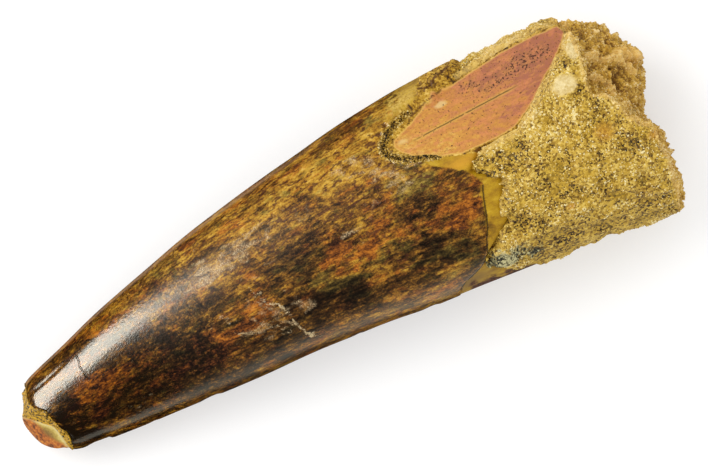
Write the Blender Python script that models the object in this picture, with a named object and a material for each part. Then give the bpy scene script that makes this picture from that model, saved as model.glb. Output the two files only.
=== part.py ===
"""A fossil spinosaurus tooth lying on its flatter side, with its root still set in sandstone.

Lengths are written in millimetres and scaled to metres when the meshes are made.
X runs along the tooth from its worn tip (-X) to the broken end of the stone (+X).
Y runs across it and Z is up, with the ground at Z = 0.
"""

import math

import bmesh
import bpy
from mathutils import Matrix, Vector

MM = 0.001
GAP = 0.3

# The tooth's two edges seen from above, as (x, y).
UPPER_EDGE = (
    (-36.15, -0.35), (-35.95, 0.4), (-35.5, 1.3), (-34.8, 2.5), (-34.0, 3.45), (-32.5, 4.05),
    (-29.0, 5.05), (-24.0, 6.5), (-18.0, 7.9), (-12.0, 9.15), (-6.0, 10.1), (0.0, 10.93),
    (6.0, 11.6), (12.0, 11.97), (17.0, 12.05), (19.0, 11.95), (21.0, 11.6), (25.0, 11.35), (31.0, 11.1),
)
LOWER_EDGE = (
    (-36.15, -0.9), (-35.95, -1.75), (-35.5, -2.65), (-34.8, -3.45), (-33.8, -4.15), (-32.5, -4.85),
    (-30.5, -5.3), (-24.0, -6.08), (-18.0, -6.68), (-12.0, -7.12), (-6.0, -7.55), (0.0, -8.1),
    (6.0, -8.95), (12.0, -9.55), (18.0, -10.25), (24.0, -10.8), (31.0, -11.6),
)
# The height of the tooth's underside and half its thickness, as (x, mm).
UNDERSIDE = (
    (-36.15, 3.0), (-35.5, 1.8), (-34.8, 1.3), (-33.8, 0.85), (-31.0, 0.3), (-24.0, -0.1),
    (-16.0, -0.16), (-8.0, 0.1), (0.0, 0.4), (12.0, 0.75), (22.0, 0.85), (31.0, 0.85),
)
HALF_HEIGHT = (
    (-36.15, 0.5), (-35.5, 1.8), (-34.8, 2.5), (-33.8, 3.15), (-31.0, 4.0), (-24.0, 5.3),
    (-16.0, 6.5), (-8.0, 7.45), (0.0, 8.2), (12.0, 9.05), (22.0, 9.35), (31.0, 9.4),
)
SECTION_POWER = 2.12
TIP_APEX, TIP_BASE, CROWN_END, NECK_END, ROOT_END = -36.25, -32.5, 12.0, 21.0, 29.3
TIP_RINGS, CROWN_RINGS, NECK_RINGS, ROOT_RINGS, TOOTH_SIDES = 7, 18, 12, 4, 60
# How far the root is drawn in under the crust, how far ahead of the crust that starts, and over what length.
ROOT_INSET, ROOT_INSET_LEAD, ROOT_INSET_LENGTH = 0.9, 0.3, 1.3

# The worn faces on the tip, as (a point on the face, its outward direction).
WORN_FACES = (
    ((-33.1, -1.8, 6.9), (-0.74, -0.32, 0.59)),
    ((-35.55, -0.6, 4.6), (-0.94, -0.2, 0.28)),
)

# The long shallow break that bares the dentine: the surface of a wide cylinder lying across the tooth.
BREAK_DEEPEST = (20.0, 6.05, 16.75)
BREAK_SLANT = math.radians(35.8)
BREAK_RADIUS = 100.0
BREAK_SIDES = 360
# The broken rim round the break's pointed end, seen from above. Further back the break has no rim.
BREAK_RIM = (
    (8.0, 7.1), (8.3, 6.2), (9.6, 5.1), (11.4, 4.5), (13.2, 3.8), (15.4, 3.0), (17.5, 2.4), (34.0, 1.0),
    (34.0, 12.5), (18.5, 11.0), (17.0, 10.2), (15.4, 9.9), (13.5, 9.5), (12.0, 9.4), (10.4, 9.0), (9.2, 8.4),
    (8.3, 7.9),
)

# The sandstone's outer edges seen from above. Its sections are as thick as the tooth's, plus the crust.
STONE_UPPER_EDGE = (
    (11.0, 11.8), (15.0, 11.85), (18.0, 11.8), (19.5, 11.55), (22.0, 11.45), (26.0, 11.35),
    (28.3, 11.35), (29.6, 10.95), (31.0, 10.3), (33.0, 9.2), (37.0, 8.0),
)
STONE_LOWER_EDGE = (
    (11.0, -9.5), (15.0, -10.1), (18.0, -10.3), (22.0, -10.6), (26.0, -11.15), (29.0, -11.65),
    (31.5, -12.15), (33.0, -12.2), (37.0, -12.2),
)
STONE_UNDERSIDE = ((11.0, -0.1), (16.0, -0.22), (22.0, -0.3), (30.0, -0.3), (34.0, 0.2), (37.0, 0.8))
STONE_HALF_HEIGHT = ((11.0, 9.75), (16.0, 10.0), (22.0, 10.25), (30.0, 10.3), (34.0, 10.0), (37.0, 9.6))
STONE_START, STONE_END = 11.0, 37.0
STONE_RINGS, STONE_SIDES = 30, 68
# Where the crust begins, as (degrees round from +Y over the top, x).
CRUST_BORDER = (
    (0, 19.4), (18, 18.4), (30, 16.8), (52, 16.6), (76, 17.9), (84, 15.8), (90, 16.1), (96, 17.7),
    (102, 18.3), (108, 17.2), (117, 15.9), (124, 15.6), (132, 13.7), (140, 13.0), (150, 13.9),
    (165, 15.8), (180, 17.2), (205, 15.8), (235, 17.6), (265, 15.6), (295, 17.0), (330, 18.6), (360, 19.4),
)
CRUST_STEP, CRUST_STEP_LENGTH = 1.5, 1.7

# The opening in the crust over the break, seen from above.
OPENING = (
    (10.5, 5.0), (13.8, 3.7), (15.5, 3.2), (18.0, 3.0), (21.2, 3.1), (24.0, 4.5), (26.0, 5.9),
    (28.0, 7.2), (29.4, 8.4), (30.0, 9.3), (29.2, 10.15), (27.0, 10.3), (23.5, 10.3), (19.9, 10.0),
    (16.3, 9.6), (10.5, 8.6),
)
# The prisms over these outlines start this far under the break and end above the tooth.
PRISM_DEPTH, PRISM_TOP = 0.6, 26.0

# The broken end: where its top edge and its outermost edge run seen from above, as (y, x).
END_TOP_EDGE = (
    (-14.0, 32.0), (-11.9, 32.2), (-10.0, 32.5), (-7.0, 33.1), (-4.0, 33.3), (-3.0, 32.9), (-1.8, 31.8),
    (0.0, 31.3), (1.3, 30.9), (2.4, 29.7), (4.0, 29.9), (6.1, 30.3), (8.0, 30.3), (9.5, 30.2), (14.0, 29.6),
)
END_OUTER_EDGE = (
    (-14.0, 32.4), (-12.1, 32.8), (-10.0, 33.7), (-9.0, 33.9), (-8.0, 33.8), (-6.0, 34.1), (-3.6, 34.3),
    (-2.4, 33.5), (-1.6, 33.6), (0.6, 34.8), (1.8, 35.3), (3.7, 36.1), (4.6, 35.6), (5.6, 34.9), (7.0, 34.2),
    (8.3, 33.5), (9.4, 31.6), (10.1, 30.2), (14.0, 29.9),
)
# How far down the stone's height the slope of the broken end reaches, and the ledge that crosses it.
END_SLOPE_FOOT = 7.0
END_ROWS, END_COLUMNS = 40, 18
LEDGE_DEPTH = 0.75

LUMP_SIZE, LUMP_HEIGHT = 2.4, 0.55
GRAIN_SIZE, GRAIN_HEIGHT = 0.9, 0.3

# Keeps the finished piece centred on the ground's origin.
CENTRE_SHIFT = (-0.054, 0.06, 0.0)

TOOTH_COLOUR = (0.13, 0.055, 0.018)
STONE_COLOUR = (0.52, 0.36, 0.13)


def smooth_curve(points, at):
    """The value at a place on the smooth curve through (place, value) points."""
    at = min(max(at, points[0][0]), points[-1][0])
    last = len(points) - 2
    i = next((n for n in range(last) if at < points[n + 1][0]), last)
    (x0, y0), (x1, y1) = points[i], points[i + 1]
    before, after = points[max(i - 1, 0)], points[min(i + 2, last + 1)]
    slope0 = (y1 - before[1]) / (x1 - before[0])
    slope1 = (after[1] - y0) / (after[0] - x0)
    width = x1 - x0
    t = (at - x0) / width
    return (
        (2 * t**3 - 3 * t**2 + 1) * y0
        + (t**3 - 2 * t**2 + t) * width * slope0
        + (3 * t**2 - 2 * t**3) * y1
        + (t**3 - t**2) * width * slope1
    )


def ramp(value, start, end):
    """Rises smoothly from 0 at start to 1 at end."""
    t = min(max((value - start) / (end - start), 0.0), 1.0)
    return t * t * (3 - 2 * t)


def section(x, upper, lower, underside, half_height, sides, change):
    """A rounded section across the tooth at x. change(angle) is added to its radius."""
    half_width = (upper - lower) / 2
    middle = (upper + lower) / 2
    centre = underside + half_height
    ring = []
    for n in range(sides):
        angle = 2 * math.pi * n / sides
        across, up = math.cos(angle), math.sin(angle)
        radius = (
            abs(across / half_width) ** SECTION_POWER + abs(up / half_height) ** SECTION_POWER
        ) ** (-1 / SECTION_POWER)
        radius += change(angle)
        ring.append((x, middle + radius * across, centre + radius * up))
    return ring


def object_from(shape, name, collection):
    """Ends the editing of a shape and makes it an object with its faces turned outwards."""
    bmesh.ops.recalc_face_normals(shape, faces=shape.faces)
    mesh = bpy.data.meshes.new(name)
    shape.to_mesh(mesh)
    shape.free()
    made = bpy.data.objects.new(name, mesh)
    collection.objects.link(made)
    return made


def loft(name, rings, collection):
    """A closed solid through rings of points, closed at each end by a fan about the ring's middle."""
    shape = bmesh.new()
    made = [[shape.verts.new(Vector(p) * MM) for p in ring] for ring in rings]
    count = len(rings[0])
    for near, far in zip(made, made[1:]):
        for n in range(count):
            m = (n + 1) % count
            shape.faces.new((near[n], near[m], far[m], far[n]))
    for ring in (made[0], made[-1]):
        middle = shape.verts.new(sum((v.co for v in ring), Vector()) / count)
        for n in range(count):
            shape.faces.new((ring[n], ring[(n + 1) % count], middle))
    return object_from(shape, name, collection)


def crust_border(angle):
    """Where the crust begins at this angle round the tooth."""
    return smooth_curve(CRUST_BORDER, math.degrees(angle))


def tooth_places():
    """Where the tooth's rings stand: close together round the tip and where the crust begins."""
    places = []
    for n in range(TIP_RINGS):
        turn = math.pi / 2 * (n + 0.35) / (TIP_RINGS - 0.35)
        places.append(TIP_BASE - (TIP_BASE - TIP_APEX) * math.cos(turn))
    for start, end, count in (
        (TIP_BASE, CROWN_END, CROWN_RINGS),
        (CROWN_END, NECK_END, NECK_RINGS),
        (NECK_END, ROOT_END, ROOT_RINGS),
    ):
        places += [start + (end - start) * n / count for n in range(count)]
    return places + [ROOT_END]


def tooth_loft(name, margin, collection):
    """The tooth's body, or the same body grown by a margin all round."""
    rings = []
    for x in tooth_places():

        def change(angle):
            start = crust_border(angle) - ROOT_INSET_LEAD
            return margin - ROOT_INSET * ramp(x, start, start + ROOT_INSET_LENGTH)

        rings.append(section(
            x if x > TIP_BASE else x - margin * (TIP_BASE - x) / (TIP_BASE - TIP_APEX),
            smooth_curve(UPPER_EDGE, x),
            smooth_curve(LOWER_EDGE, x),
            smooth_curve(UNDERSIDE, x),
            smooth_curve(HALF_HEIGHT, x),
            TOOTH_SIDES,
            change,
        ))
    if margin:
        rings.append([(x + margin, y, z) for x, y, z in rings[-1]])
    return loft(name, rings, collection)


def stone_loft(name, collection):
    """The stone's outer surface, drawn in under the tooth's surface where there is no crust."""
    rings = []
    for r in range(STONE_RINGS):
        x = STONE_START + (STONE_END - STONE_START) * r / (STONE_RINGS - 1)

        def change(angle):
            start = crust_border(angle) - CRUST_STEP_LENGTH / 2
            return -CRUST_STEP * (1 - ramp(x, start, start + CRUST_STEP_LENGTH))

        rings.append(section(
            x,
            smooth_curve(STONE_UPPER_EDGE, x),
            smooth_curve(STONE_LOWER_EDGE, x),
            smooth_curve(STONE_UNDERSIDE, x),
            smooth_curve(STONE_HALF_HEIGHT, x),
            STONE_SIDES,
            change,
        ))
    return loft(name, rings, collection)


def end_slope(y, height):
    """Where the broken end stands at this place across the stone and at this height."""
    outer, top = smooth_curve(END_OUTER_EDGE, y), smooth_curve(END_TOP_EDGE, y)
    crown = 10.0 + 10.2 * math.sqrt(max(1 - (y / 12.6) ** 2, 0.02))
    rise = min(max((height - END_SLOPE_FOOT) / (crown - END_SLOPE_FOOT), 0.0), 1.3)
    # The slope falls away in two treads, so that a ledge crosses it.
    tread = LEDGE_DEPTH * math.sin(2 * math.pi * rise) * ramp(y, -1.5, 2.0)
    return outer + (top - outer) * rise**1.35 + tread


def end_cutter(collection):
    """Everything beyond the broken end."""
    rings = []
    low, high, far = -3.0, 25.0, 41.0
    for r in range(END_ROWS):
        y = -14.0 + 28.0 * r / (END_ROWS - 1)
        heights = [low + (high - low) * n / (END_COLUMNS - 1) for n in range(END_COLUMNS)]
        face = [(end_slope(y, z), y, z) for z in heights]
        rings.append(face + [(far, y, high), (far, y, low)])
    return loft("end_cutter", rings, collection)


def break_cutter(name, radius, collection):
    """A wide cylinder lying across the tooth, whose side is the surface of the break."""
    shape = bmesh.new()
    bmesh.ops.create_cone(
        shape, cap_ends=True, segments=BREAK_SIDES, radius1=radius * MM, radius2=radius * MM, depth=24 * MM
    )
    outward = Vector((0, math.sin(BREAK_SLANT), math.cos(BREAK_SLANT)))
    across = Vector((0, math.cos(BREAK_SLANT), -math.sin(BREAK_SLANT)))
    turn = Matrix((Vector((1, 0, 0)), -outward, across)).transposed().to_4x4()
    centre = (Vector(BREAK_DEEPEST) + outward * BREAK_RADIUS) * MM
    bmesh.ops.transform(shape, matrix=Matrix.Translation(centre) @ turn, verts=shape.verts)
    return object_from(shape, name, collection)


def prism(name, outline, collection):
    """An upright prism over an outline drawn from above, from just under the break to above the tooth."""
    _, deepest_y, deepest_z = BREAK_DEEPEST
    floor = [
        (x, y, deepest_z - PRISM_DEPTH - (y - deepest_y) * math.tan(BREAK_SLANT)) for x, y in outline
    ]
    return loft(name, [floor, [(x, y, PRISM_TOP) for x, y in outline]], collection)


def half_space(name, point, outward, collection, size):
    """A box whose near face passes through the point and which lies on the outward side of it."""
    shape = bmesh.new()
    bmesh.ops.create_cube(shape, size=size * MM)
    outward = Vector(outward).normalized()
    turn = Vector((0, 0, 1)).rotation_difference(outward).to_matrix().to_4x4()
    place = Matrix.Translation((Vector(point) + outward * size / 2) * MM)
    bmesh.ops.transform(shape, matrix=place @ turn, verts=shape.verts)
    return object_from(shape, name, collection)


def cut(target, cutter, operation="DIFFERENCE"):
    modifier = target.modifiers.new("cut_" + cutter.name, "BOOLEAN")
    modifier.operation = operation
    modifier.solver = "EXACT"
    modifier.object = cutter


def roughen(target, name, size, height):
    """Lumps of about this size over the whole surface, half of them up and half down."""
    clouds = bpy.data.textures.new(name, "CLOUDS")
    clouds.noise_scale = size * MM
    clouds.noise_depth = 1
    modifier = target.modifiers.new(name, "DISPLACE")
    modifier.texture = clouds
    modifier.texture_coords = "LOCAL"
    modifier.strength = height * MM
    modifier.mid_level = 0.5


def paint(target, name, colour, roughness):
    material = bpy.data.materials.new(name)
    material.use_nodes = True
    shader = material.node_tree.nodes["Principled BSDF"]
    shader.inputs["Base Color"].default_value = (*colour, 1.0)
    shader.inputs["Roughness"].default_value = roughness
    target.data.materials.append(material)


def smooth_shade(target):
    for face in target.data.polygons:
        face.use_smooth = True


def make_tooth(parts, cutters, ground):
    tooth = tooth_loft("tooth", 0.0, parts)
    broken = break_cutter("break_cutter", BREAK_RADIUS, cutters)
    cut(broken, prism("break_rim", BREAK_RIM, cutters), "INTERSECT")
    cut(tooth, broken)
    for n, (point, outward) in enumerate(WORN_FACES):
        cut(tooth, half_space(f"wear_cutter_{n}", point, outward, cutters, size=16.0))
    cut(tooth, ground)
    paint(tooth, "enamel", TOOTH_COLOUR, 0.25)
    smooth_shade(tooth)


def make_stone(parts, cutters, ground):
    stone = stone_loft("sandstone_matrix", parts)
    roughen(stone, "lumps", LUMP_SIZE, LUMP_HEIGHT)
    roughen(stone, "grains", GRAIN_SIZE, GRAIN_HEIGHT)
    end = end_cutter(cutters)
    roughen(end, "end_lumps", LUMP_SIZE, 2 * LUMP_HEIGHT)
    roughen(end, "end_grains", GRAIN_SIZE, 2 * GRAIN_HEIGHT)
    cut(stone, end)
    # The hollow that the root fills follows the root and its break, a small gap away.
    hollow = tooth_loft("root_hollow", GAP, cutters)
    cut(hollow, break_cutter("hollow_break_cutter", BREAK_RADIUS - GAP, cutters))
    cut(stone, prism("opening_cutter", OPENING, cutters))
    cut(stone, hollow)
    cut(stone, ground)
    paint(stone, "sandstone", STONE_COLOUR, 0.9)
    smooth_shade(stone)


def main():
    for old in list(bpy.data.objects):
        bpy.data.objects.remove(old, do_unlink=True)
    parts = bpy.data.collections.new("spinosaurus_tooth")
    cutters = bpy.data.collections.new("cutters")
    for group in (parts, cutters):
        bpy.context.scene.collection.children.link(group)
    cutters.hide_render = True
    ground = half_space("ground_cutter", (0, 0, 0), (0, 0, -1), cutters, size=120.0)
    make_tooth(parts, cutters, ground)
    make_stone(parts, cutters, ground)
    for helper in cutters.objects:
        helper.hide_render = True
        helper.display_type = "WIRE"
    for made in list(parts.objects) + list(cutters.objects):
        made.location = Vector(CENTRE_SHIFT) * MM


main()
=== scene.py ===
"""The looks of a fossil spinosaurus tooth whose root is still set in sandstone.

Lengths are written in millimetres and scaled to metres when the meshes are made.
X runs along the tooth from its worn tip (-X) to the broken end of the stone (+X).
Y runs across it and Z is up, with the ground at Z = 0.
"""

import math

import bmesh
import bpy
import numpy as np
from mathutils import Matrix, Vector, noise


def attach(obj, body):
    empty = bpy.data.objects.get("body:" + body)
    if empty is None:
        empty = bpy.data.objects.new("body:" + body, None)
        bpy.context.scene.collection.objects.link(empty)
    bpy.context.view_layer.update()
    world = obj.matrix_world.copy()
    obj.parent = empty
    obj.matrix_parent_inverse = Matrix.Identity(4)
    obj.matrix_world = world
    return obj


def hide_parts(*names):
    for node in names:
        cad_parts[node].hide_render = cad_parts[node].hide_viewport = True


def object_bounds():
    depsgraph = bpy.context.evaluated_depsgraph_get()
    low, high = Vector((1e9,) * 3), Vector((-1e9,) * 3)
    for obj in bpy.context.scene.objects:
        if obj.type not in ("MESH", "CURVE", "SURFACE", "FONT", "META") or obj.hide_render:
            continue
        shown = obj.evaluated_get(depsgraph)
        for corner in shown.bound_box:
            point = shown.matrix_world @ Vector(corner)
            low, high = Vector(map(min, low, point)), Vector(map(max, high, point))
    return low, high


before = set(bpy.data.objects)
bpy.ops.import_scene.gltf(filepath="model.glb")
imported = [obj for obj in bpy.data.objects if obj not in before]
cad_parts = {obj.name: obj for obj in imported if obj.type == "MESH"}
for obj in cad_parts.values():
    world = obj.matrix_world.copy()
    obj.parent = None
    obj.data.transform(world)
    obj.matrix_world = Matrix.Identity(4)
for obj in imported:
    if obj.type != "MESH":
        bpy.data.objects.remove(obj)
CAD_BOX = [list(corner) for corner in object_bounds()]

MM = 0.001

# The shape of the tooth, as in the solid: its edges from above, its underside and half its thickness.
UPPER_EDGE = (
    (-36.15, -0.35), (-35.95, 0.4), (-35.5, 1.3), (-34.8, 2.5), (-34, 3.45), (-32.5, 4.05), (-29, 5.05),
    (-24, 6.5), (-18, 7.9), (-12, 9.15), (-6, 10.1), (0, 10.93), (6, 11.6), (12, 11.97), (17, 12.05),
    (19, 11.95), (21, 11.6), (25, 11.35), (31, 11.1),
)
LOWER_EDGE = (
    (-36.15, -0.9), (-35.95, -1.75), (-35.5, -2.65), (-34.8, -3.45), (-33.8, -4.15), (-32.5, -4.85),
    (-30.5, -5.3), (-24, -6.08), (-18, -6.68), (-12, -7.12), (-6, -7.55), (0, -8.1), (6, -8.95), (12, -9.55),
    (18, -10.25), (24, -10.8), (31, -11.6),
)
UNDERSIDE = (
    (-36.15, 3), (-35.5, 1.8), (-34.8, 1.3), (-33.8, 0.85), (-31, 0.3), (-24, -0.1), (-16, -0.16), (-8, 0.1),
    (0, 0.4), (12, 0.75), (22, 0.85), (31, 0.85),
)
HALF_HEIGHT = (
    (-36.15, 0.5), (-35.5, 1.8), (-34.8, 2.5), (-33.8, 3.15), (-31, 4), (-24, 5.3), (-16, 6.5), (-8, 7.45),
    (0, 8.2), (12, 9.05), (22, 9.35), (31, 9.4),
)
TOOTH_OUTLINE = (UPPER_EDGE, LOWER_EDGE, UNDERSIDE, HALF_HEIGHT)
SECTION_POWER = 2.12
TIP_APEX, TIP_BASE, ROOT_END = -36.25, -32.5, 30
# How far the root is drawn in under the crust, how far ahead of the crust that starts, and over what length.
ROOT_INSET, ROOT_INSET_LEAD, ROOT_INSET_LENGTH = 0.9, 0.3, 1.3
# The worn faces on the tip, as (a point on the face, its outward direction).
WORN_FACES = (
    ((-33.1, -1.8, 6.9), (-0.74, -0.32, 0.59)),
    ((-35.55, -0.6, 4.6), (-0.94, -0.2, 0.28)),
)

# The long shallow break: the side of a wide cylinder lying across the tooth.
BREAK_DEEPEST = (20, 6.05, 16.75)
BREAK_SLANT = math.radians(35.8)
BREAK_RADIUS = 100
BREAK_RIM = (
    (8, 7.1), (8.3, 6.2), (9.6, 5.1), (11.4, 4.5), (13.2, 3.8), (15.4, 3), (17.5, 2.4), (34, 1), (34, 12.5),
    (18.5, 11), (17, 10.2), (15.4, 9.9), (13.5, 9.5), (12, 9.4), (10.4, 9), (9.2, 8.4), (8.3, 7.9),
)
RIM_SLOPE = 0.9
# The smooth bare dentine inside the broken rim.
FACET = (
    (9.7, 7), (10.1, 6.2), (11, 5.25), (12.2, 4.8), (13.7, 3.8), (15.5, 3.2), (17.5, 3.1), (19.5, 3),
    (21.2, 3.1), (24, 4.5), (26, 5.9), (28, 7.2), (29.4, 8.4), (30.2, 9.2), (29.8, 10.1), (27, 10.35),
    (23.5, 10.35), (19.9, 10), (16, 9.5), (14.2, 9.1), (12.6, 8.45), (11, 7.9), (10, 7.6),
)

# The shape of the stone, as in the solid.
STONE_UPPER_EDGE = (
    (11, 11.8), (15, 11.85), (18, 11.8), (19.5, 11.55), (22, 11.45), (26, 11.35), (28.3, 11.35),
    (29.6, 10.95), (31, 10.3), (33, 9.2), (37, 8),
)
STONE_LOWER_EDGE = (
    (11, -9.5), (15, -10.1), (18, -10.3), (22, -10.6), (26, -11.15), (29, -11.65), (31.5, -12.15),
    (33, -12.2), (37, -12.2),
)
STONE_UNDERSIDE = (
    (11, -0.1), (16, -0.22), (22, -0.3), (30, -0.3), (34, 0.2), (37, 0.8),
)
STONE_HALF_HEIGHT = (
    (11, 9.75), (16, 10), (22, 10.25), (30, 10.3), (34, 10), (37, 9.6),
)
STONE_OUTLINE = (STONE_UPPER_EDGE, STONE_LOWER_EDGE, STONE_UNDERSIDE, STONE_HALF_HEIGHT)
# Where the crust begins, as (degrees round from +Y over the top, x), and how deep it steps in there.
CRUST_BORDER = (
    (0, 19.4), (18, 18.4), (30, 16.8), (52, 16.6), (74, 17.6), (84, 15.9), (89, 15.2), (94, 16.2),
    (98, 17.4), (103, 17.4), (108, 17.2), (117, 16.2), (124, 16.4), (132, 15), (139, 13.5), (145, 12.6),
    (152, 12.6), (160, 14), (166, 15.4), (172, 16.8), (180, 17.2), (205, 15.8), (235, 17.6), (265, 15.6),
    (295, 17), (330, 18.6), (360, 19.4),
)
CRUST_STEP, CRUST_STEP_LENGTH = 1.5, 1.7
# The opening in the crust over the break, seen from above.
OPENING = (
    (10.5, 5), (13.8, 3.7), (15.5, 3.2), (18, 3), (21.2, 3.1), (24, 4.5), (26, 5.9), (28, 7.2), (29.4, 8.4),
    (30.2, 9.2), (29.9, 10.2), (27, 10.5), (23.5, 10.5), (19.9, 10.2), (16.3, 9.7), (10.5, 8.6),
)
# The broken end: where its top edge and its outermost edge run seen from above, as (y, x).
END_TOP_EDGE = (
    (-14, 32), (-11.9, 32.2), (-10, 32.5), (-7, 33.1), (-4, 33.3), (-3, 32.9), (-1.8, 31.8), (0, 31.3),
    (1.3, 30.9), (2.4, 29.7), (4, 29.9), (6.1, 30.3), (8, 30.3), (9.5, 30.2), (14, 29.6),
)
END_OUTER_EDGE = (
    (-14, 32.4), (-12.1, 32.8), (-10, 33.7), (-9, 33.9), (-8, 33.8), (-6, 34.1), (-3.6, 34.3), (-2.4, 33.5),
    (-1.6, 33.6), (0.6, 34.8), (1.8, 35.3), (3.7, 36.1), (4.6, 35.6), (5.6, 34.9), (7, 34.2), (8.3, 33.5),
    (9.4, 31.6), (10.1, 30.2), (14, 29.9),
)
END_SLOPE_FOOT, LEDGE_DEPTH = 7, 0.75

CENTRE_SHIFT = np.array((-0.054, 0.06, 0))
BOX_MARGIN = 0.01
TOOTH_ROOM, STONE_ROOM = 0.05, 0.35

# The rows and columns of the two grids.
TOOTH_COLUMNS, TIP_ROWS, CROWN_ROWS, RIM_ROWS, ROOT_ROWS = 256, 44, 152, 80, 72
RIM_ROWS_FROM, RIM_ROWS_TO = 7.6, 16.4
STONE_COLUMNS, STONE_RINGS, STONE_END_ROWS = 400, 104, 122
STONE_FIRST_RING, STONE_LAST_RING = 11.6, 26.5

# What is marked from above lies over these heights. Elsewhere it counts as this far away.
MARKED_HEIGHT, CRACKED_HEIGHT, FAR = 9, 8, 9
# The edge of the enamel round the worn tip and at the crown's base, as (y, x).
TIP_ENAMEL_EDGE = (
    (-5.5, -33), (-4, -32.6), (-3, -32.5), (-2, -32.9), (-1, -33.2), (0, -33.4), (0.55, -33.9),
    (1.1, -34.35), (1.9, -34.45), (2.5, -34.27), (3.2, -34), (4.5, -33.7),
)
BASE_ENAMEL_EDGE = (
    (-10.5, 8), (-8.8, 8.9), (-8.35, 9.6), (-8.05, 10.6), (-7.8, 11.4), (-7.3, 12.4), (-6.6, 13), (-5, 13.8),
    (-3, 14.6), (-1, 15.2), (0, 15.6), (1, 15.2), (2, 14.2), (3.5, 12.2), (4.3, 11.6), (6, 10.5), (8, 10.4),
    (9.5, 10.2), (10.5, 10.2), (11.4, 11.2), (12.2, 12.4),
)
TIP_STEP, BASE_STEP = 0.15, 0.1
# Where the pale worn face and the orange lip of the tip begin, as (y, x).
TIP_FACE_EDGE = (
    (-4.3, -33.2), (-3.2, -33.3), (-1.9, -33.5), (-1, -34.3), (-0.3, -35), (0.3, -35.6), (1.2, -36.6),
)
TIP_LIP_EDGE = (
    (-4.3, -33.2), (-3.7, -33.45), (-3, -34), (-2, -34.6), (-1, -34.75), (-0.1, -35.1), (0.3, -35.6),
    (1.2, -36.6),
)
# Where the neck is rough and brown, beside the crust.
ROUGH_NECK = (
    (12.3, 8.9), (13.7, 9.9), (14.2, 10.8), (15.4, 12.4), (21, 12.4), (21, 9.9), (16, 9.4), (14.2, 9),
)
# The broken edge of the enamel round the narrow end of the break.
DARK_RIM = (
    (12.5, 9.3), (10.9, 8.95), (9.7, 8.35), (8.8, 7.6), (8.6, 6.9), (9.1, 6.1), (10.2, 5.3), (11.6, 4.85),
    (13.2, 4.15),
)
# How rough the dark rim, the tip's golden band and the rough neck are.
RIM_ROUGHNESS, TIP_ROUGHNESS, NECK_ROUGHNESS = 0.45, 0.3, 0.4
GROOVE = ((-34.2, 2.3), (-32.5, 2.6), (-30.8, 3.05), (-29, 3.6))
GROOVE_DEPTH = 0.04
SWELL_SIZE, SWELL_HEIGHT, SURFACE_DROP = 6, 0.1, 0.03
# The low ridge along the crown's upper edge: the angle of its relief and of its pale colour (worn enamel with
# a painted highlight), half its width.
CARINA_ANGLE, CARINA_SHEEN_ANGLE, CARINA_HALF_WIDTH, CARINA_HEIGHT = 0.17, 0.24, 0.05, 0.1
# Chips along the lower edge, each (where it begins, where it ends, depth).
CHIPS = ((-32, -28.7, 0.22), (-19.5, -17, 0.12), (-25.2, -23.8, 0.07), (-3, -1.6, 0.08), (4.4, 6.5, 0.1))
# Cracks, as (y, x): one across the tip and one along the enamel's edge at the base.
TIP_CRACK = ((0.9, -28.05), (2.2, -28.25), (3.2, -28.1), (5, -28.35))
BASE_CRACK = BASE_ENAMEL_EDGE[1:6] + (
    (-7, 12.9), (-5.6, 13.5), (-4.5, 14.2), (-3.5, 14.6), (-1.6, 15.3), (-0.4, 15.8),
)
# Scratches, crevices beside the break and the brown strip along the neck's lower edge, seen from above.
SCAR = ((-8.6, -0.4), (-8.2, -1), (-7.8, -2), (-7.4, -3.2), (-7, -4.3), (-6.5, -5.3), (-6.1, -6))
SCRATCHES = (
    ((-9.9, 1.6), (-9.4, 0.5), (-8.6, -0.4)), ((-12.6, -2.1), (-11.2, -2.9), (-9.6, -3.3), (-8, -4.2)),
    ((-6.3, -6), (-5.2, -6.4)), ((-13.6, 0.2), (-13, -0.6), (-12.6, -1.4)),
)
CREVICES = (
    ((12.8, 8.9), (13.8, 9.2), (15, 9.6), (16.6, 9.75)),
    ((14.6, 11), (15.6, 10.6), (16.6, 11.2), (18.4, 11.6)),
)
NOTCH = (16.9, 2.8, 0.5, 0.3, 1)
LOW_STRIP = ((10.4, -9.2), (12.5, -9.55), (15, -9.95), (17.5, -10.3))

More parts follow.
